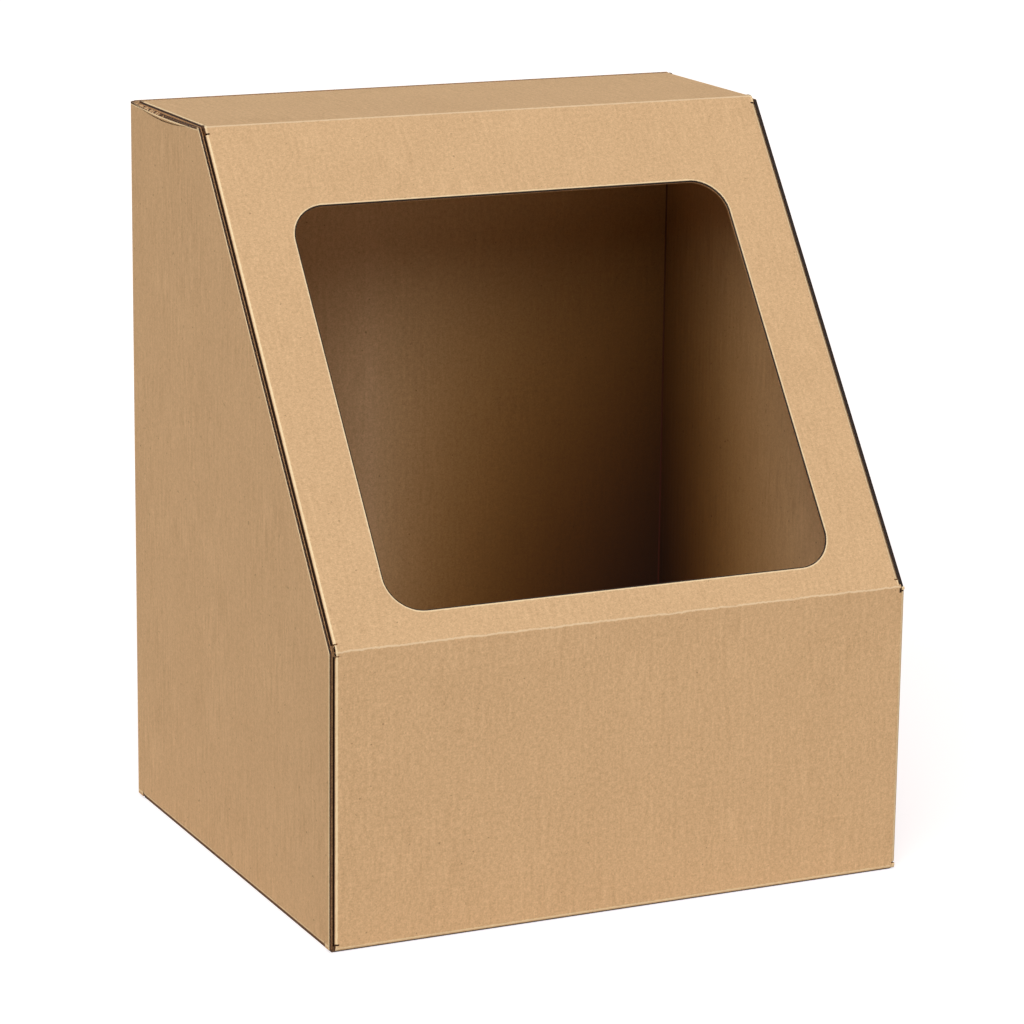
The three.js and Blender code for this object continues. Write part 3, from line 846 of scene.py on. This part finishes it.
def crease_liner(name, corner, heading_in, heading_out, half_span, seed):
    """The outer liner where it bends over a crease that moves.

    The skin stands 0.015 mm proud of the board, and sinks into it at its rims. Along its middle
    runs a ridge of fibres, exp(-((s - m) / 0.45 mm) ^ 2) times (0.03 + 0.02 ragged) mm, where s
    is the distance across the crease, and the middle m and ragged wander along it.
    """
    s = np.linspace(-half_span, half_span, 31)
    surface, out = crease_outline(corner, heading_in, heading_out, s)
    low, high = -LID_HALF + LIP, HALF_WIDTH - FOLD_RADIUS
    x = np.linspace(low, high, int((high - low) / SKIN_STEP))
    rng = np.random.default_rng(seed)
    ragged = np.convolve(rng.standard_normal(len(x) + 8), np.ones(9) / 9, "valid")
    drift = np.convolve(rng.standard_normal(len(x) + 40), np.ones(41) / 41, "valid")
    middle = (0.25 * ragged + 0.8 * drift)[:, None] * MM
    ridge = np.exp(-((s[None] - middle) / RIDGE_HALF) ** 2)
    proud = SKIN_PROUD + ridge * (RIDGE_HEIGHT + RIDGE_ROUGHNESS * ragged[:, None]) * MM
    proud -= RIM_SINK * np.clip(1 - (half_span - np.abs(s)) / RIM_FADE, 0, 1)
    outer = surface[None] + proud[:, :, None] * out[None]
    outer[:, :, 1] = np.maximum(outer[:, :, 1], FRONT)
    outer[:, :, 2] = np.maximum(outer[:, :, 2], 0.0)
    inner = np.repeat((surface - SKIN * out)[None], len(x), 0)
    outer[:, :, 0] = x[:, None]
    inner[:, :, 0] = x[:, None]
    section = np.concatenate([outer, inner[:, ::-1]], 1)
    rows, columns = section.shape[:2]
    points = section.reshape(-1, 3)
    quads = grid_faces(rows, columns, wrap_columns=True)
    k = np.arange(columns // 2 - 1)
    cap = np.stack([k, k + 1, columns - 2 - k, columns - 1 - k], 1)
    quads = np.vstack([quads, cap[:, ::-1], cap + (rows - 1) * columns])
    a, b, c = points[quads[0, :3]]
    if np.dot(np.cross(b - a, c - a), out[0]) < 0:
        quads = quads[:, ::-1]
    piece = mesh_piece(name, points, quads, [crease_material], smooth=True)
    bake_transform(piece)


def dress_board():
    """Liner materials on the three blanks, and cut paper on their plain raw edges."""
    finishes = {
        "carton_body": kraft_walls,
        "lid": board_material("kraft_lid", lid_lines, lid_creases, lid_shade),
        "bottom_closure": board_material("kraft_bottom", closure_lines, None, contact_shade),
    }
    for name, material in finishes.items():
        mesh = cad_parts[name].data
        mesh.materials.clear()
        mesh.materials.append(material)
        mesh.materials.append(cut_core)
        corners = np.zeros(len(mesh.vertices) * 3)
        mesh.vertices.foreach_get("co", corners)
        corners = corners.reshape(-1, 3)
        loops = np.zeros(len(mesh.loops), np.int32)
        mesh.loops.foreach_get("vertex_index", loops)
        tri = corners[loops.reshape(-1, 3)]
        sides = np.linalg.norm(tri - np.roll(tri, 1, 1), axis=2)
        # A triangle of a raw edge has one side as long as the board is thick
        cut = (np.abs(sides - BOARD) < 0.002 * MM).any(1)
        middle = tri.mean(1)
        from_crease = np.hypot(middle[:, 1] - FRONT, middle[:, 2] - FRONT_HEIGHT)
        cut &= ~((from_crease < 6 * MM) & (np.abs(middle[:, 0]) < LID_HALF + 0.2 * MM))
        mesh.polygons.foreach_set("material_index", cut.astype(np.int32))


# Surroundings
def seen_by_camera(graph):
    """1 for rays from the camera and for glossy ones."""
    path = graph.node("ShaderNodeLightPath").outputs
    return graph.math("MAXIMUM", path["Is Camera Ray"], path["Is Glossy Ray"])


def add_floor():
    """A pale floor with a glow for the camera's rays, so that it turns white but keeps a shadow."""
    colour, glow_colour, glow_strength, half = (0.60, 0.53, 0.45, 1), (1, 1, 1.06, 1), 0.72, 15.0
    material, graph, shader = new_material("studio_floor")
    graph.feed(shader.inputs["Base Color"], colour)
    graph.feed(shader.inputs["Roughness"], 0.9)
    graph.feed(shader.inputs["Specular IOR Level"], 0.0)
    strength = graph.times(seen_by_camera(graph), glow_strength)
    glow = graph.node("ShaderNodeEmission", {"Color": glow_colour, "Strength": strength})
    both = graph.node("ShaderNodeAddShader")
    output = next(n for n in graph.tree.nodes if n.type == "OUTPUT_MATERIAL")
    graph.tree.links.new(shader.outputs[0], both.inputs[0])
    graph.tree.links.new(glow.outputs[0], both.inputs[1])
    graph.tree.links.new(both.outputs[0], output.inputs[0])
    points = np.array([(-half, -half, 0), (half, -half, 0), (half, half, 0), (-half, half, 0)])
    mesh_piece("floor", points, np.array([[0, 1, 2, 3]]), [material])


def add_light():
    """A broad soft key from the front left, above, and an even surround."""
    key_strength, key_angle, towards = 2.58, math.radians(55), Vector((-0.419, -0.575, 0.703))
    fill_colour, fill_strength = (1.0, 0.86, 0.70, 1), 0.16
    data = bpy.data.lights.new("soft_key", "SUN")
    data.energy = key_strength
    data.angle = key_angle
    key = bpy.data.objects.new("soft_key", data)
    key.matrix_world = towards.to_track_quat("Z", "Y").to_matrix().to_4x4()
    bpy.context.scene.collection.objects.link(key)
    world = bpy.data.worlds.new("studio")
    world.use_nodes = True
    world.node_tree.nodes.clear()
    graph = Graph(world.node_tree)
    seen = seen_by_camera(graph)
    tone = graph.mix(seen, fill_colour, (1, 1, 1, 1))
    strength = graph.math("MAXIMUM", seen, fill_strength)
    back = graph.node("ShaderNodeBackground", {"Color": tone, "Strength": strength})
    output = graph.node("ShaderNodeOutputWorld")
    graph.tree.links.new(back.outputs[0], output.inputs[0])
    bpy.context.scene.world = world


bpy.context.scene.view_settings.view_transform = "Standard"
add_camera()
hollow = hollow_material()
kraft_walls = board_material("kraft_walls", body_lines, front_crease_line, body_shade, inside_painted_shade)
cut_outer = cut_material("cut_outer_liner", linear(252, 228, 186), linear(232, 200, 156))
cut_inner = cut_material("cut_inner_liner", linear(204, 158, 110), linear(150, 106, 66))
cut_flute = cut_material("cut_flute", linear(146, 102, 64), linear(92, 58, 32))
cut_core = cut_material("cut_core", linear(128, 90, 58), linear(66, 42, 24))
dress_board()
side_wall_edges()
back_wall_edge()
window_edge()
crease_material = board_material("kraft_crease", body_lines, front_crease_line, contact_shade)
crease_liner("front_crease_liner", CREASE, UP, UP_SLANT, 0.95 * MM, 11)
crease_liner("bottom_crease_liner", np.array([0.0, FRONT, 0.0]), AHEAD, UP,
             2.05 * MM, 12)
add_floor()
add_light()
